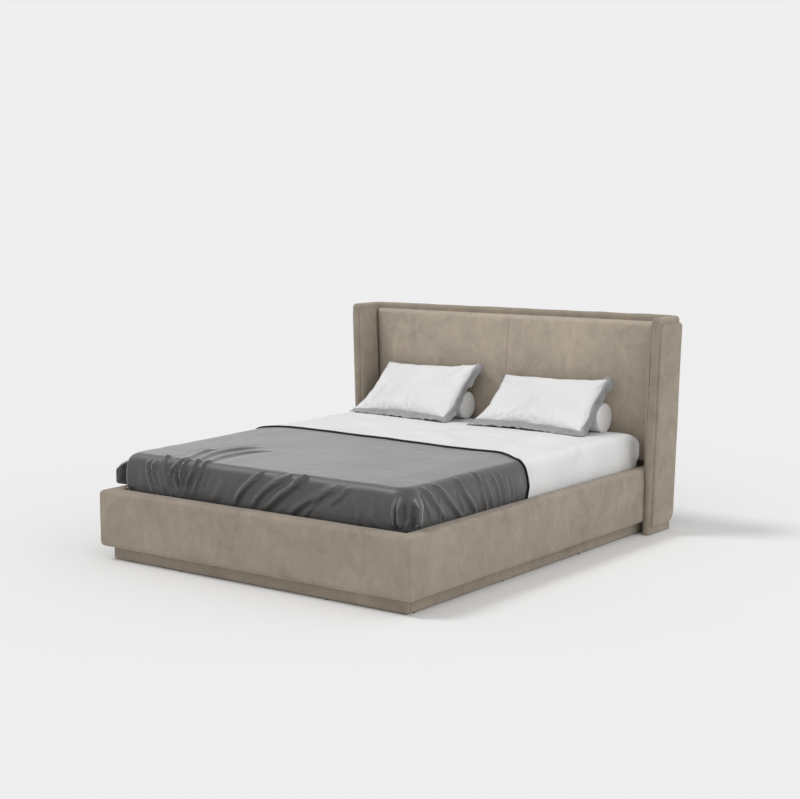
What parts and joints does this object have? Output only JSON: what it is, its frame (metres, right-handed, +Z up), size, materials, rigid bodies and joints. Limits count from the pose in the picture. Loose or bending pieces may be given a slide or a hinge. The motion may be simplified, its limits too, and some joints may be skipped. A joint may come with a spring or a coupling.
{
  "type": "bed",
  "caption": "Upholstered double bed with a winged headboard and plinth, a storage box under a lift-up slatted platform, and its mattress, blanket, pillows and bolsters.",
  "frame": {"origin": "on the floor, at the centre of the bed's outline", "axes": "+X to the right seen from the foot, +Y from the foot towards the headboard, +Z up"},
  "size_m": [1.933, 2.217, 1.09],
  "materials": {
    "velvet": "short pile velvet, taupe",
    "timber": "planed pine",
    "plywood": "birch plywood",
    "painted_steel": "satin powder coat",
    "zinc_steel": "zinc plated",
    "strut_black": "gloss black paint",
    "strut_rod": "polished",
    "plastic": "moulded",
    "rubber": "matt",
    "backing_cloth": "thin lining cloth",
    "beech": "laminated beech",
    "ticking": "quilted ticking",
    "white_cotton": "plain cotton",
    "grey_blanket": "woven bedspread with a faint band",
    "grey_flange": "grey cotton sateen",
    "webbing": "woven webbing"
  },
  "bodies": {
    "base": {"rail_cover_left": "velvet", "rail_cover_right": "velvet", "rail_cover_foot": "velvet", "wing_shell_left": "velvet", "wing_shell_right": "velvet", "headboard_shell": "velvet", "headboard_pad": "velvet", "wing_inner_pad_left": "velvet", "wing_inner_pad_right": "velvet", "wing_side_pad_left": "velvet", "wing_side_pad_right": "velvet", "plinth_left": "velvet", "plinth_right": "velvet", "plinth_foot": "velvet", "rail_board_left": "timber", "rail_board_right": "timber", "rail_board_foot": "timber", "head_cross_board": "timber", "plinth_head": "timber", "floor_joist": "timber", "ledge_battens": "timber", "wing_packers": "timber", "floor_panel_left": "plywood", "floor_panel_right": "plywood", "wing_core_left": "plywood", "wing_core_right": "plywood", "headboard_core": "plywood", "corner_brackets": "painted_steel", "rail_bolts": "zinc_steel", "glides": "plastic", "rest_bumpers": "rubber", "back_panel": "backing_cloth", "lift_plate_left": "painted_steel", "lift_plate_right": "painted_steel"},
    "cranks": {"crank_left": "painted_steel", "crank_right": "painted_steel"},
    "platform": {"lift_bracket_left": "painted_steel", "lift_bracket_right": "painted_steel", "frame_tube_left": "painted_steel", "frame_tube_right": "painted_steel", "frame_tube_foot": "painted_steel", "frame_tube_head": "painted_steel", "frame_tube_centre": "painted_steel", "slats_left": "beech", "slats_right": "beech", "slat_holders": "plastic", "mattress": "ticking", "sheet": "white_cotton", "blanket": "grey_blanket", "pillow_left": "white_cotton", "pillow_right": "white_cotton", "pillow_flange_left": "grey_flange", "pillow_flange_right": "grey_flange", "bolster_left": "white_cotton", "bolster_right": "white_cotton", "pull_strap": "webbing"},
    "rockers": {"rocker_left": "painted_steel", "rocker_right": "painted_steel"},
    "strut_cylinders": {"strut_cylinders": "strut_black"},
    "strut_rods": {"strut_rods": "strut_rod"}
  },
  "joints": [
    {"name": "crank_turn", "type": "hinge", "parent": "base", "child": "cranks", "pos_m": [0, 0.33569, 0.088], "axis": [1, 0, 0], "range_deg": [0, 60]},
    {"name": "platform_lift", "type": "hinge", "parent": "cranks", "child": "platform", "pos_m": [0, 0.5955, 0.238], "axis": [-1, 0, 0], "range_deg": [0, 90]},
    {"name": "rocker_turn", "type": "hinge", "parent": "base", "child": "rockers", "pos_m": [0, 0.41569, 0.138], "axis": [1, 0, 0], "range_deg": [0, 65.9]},
    {"name": "strut_swing", "type": "hinge", "parent": "base", "child": "strut_cylinders", "pos_m": [0, 0.57569, 0.15], "axis": [1, 0, 0], "range_deg": [0, 5.5]},
    {"name": "strut_slide", "type": "slide", "parent": "strut_cylinders", "child": "strut_rods", "axis": [0, -0.9999, 0.0125], "range_m": [0, 0.0595]}
  ],
  "couplings": [
    {"joint": "crank_turn", "follows": "platform_lift", "ratio": 0.66666},
    {"joint": "rocker_turn", "follows": "platform_lift", "ratio": 0.7322},
    {"joint": "strut_swing", "follows": "platform_lift", "ratio": 0.0611},
    {"joint": "strut_slide", "follows": "platform_lift", "m_per_rad": 0.03787}
  ]
}
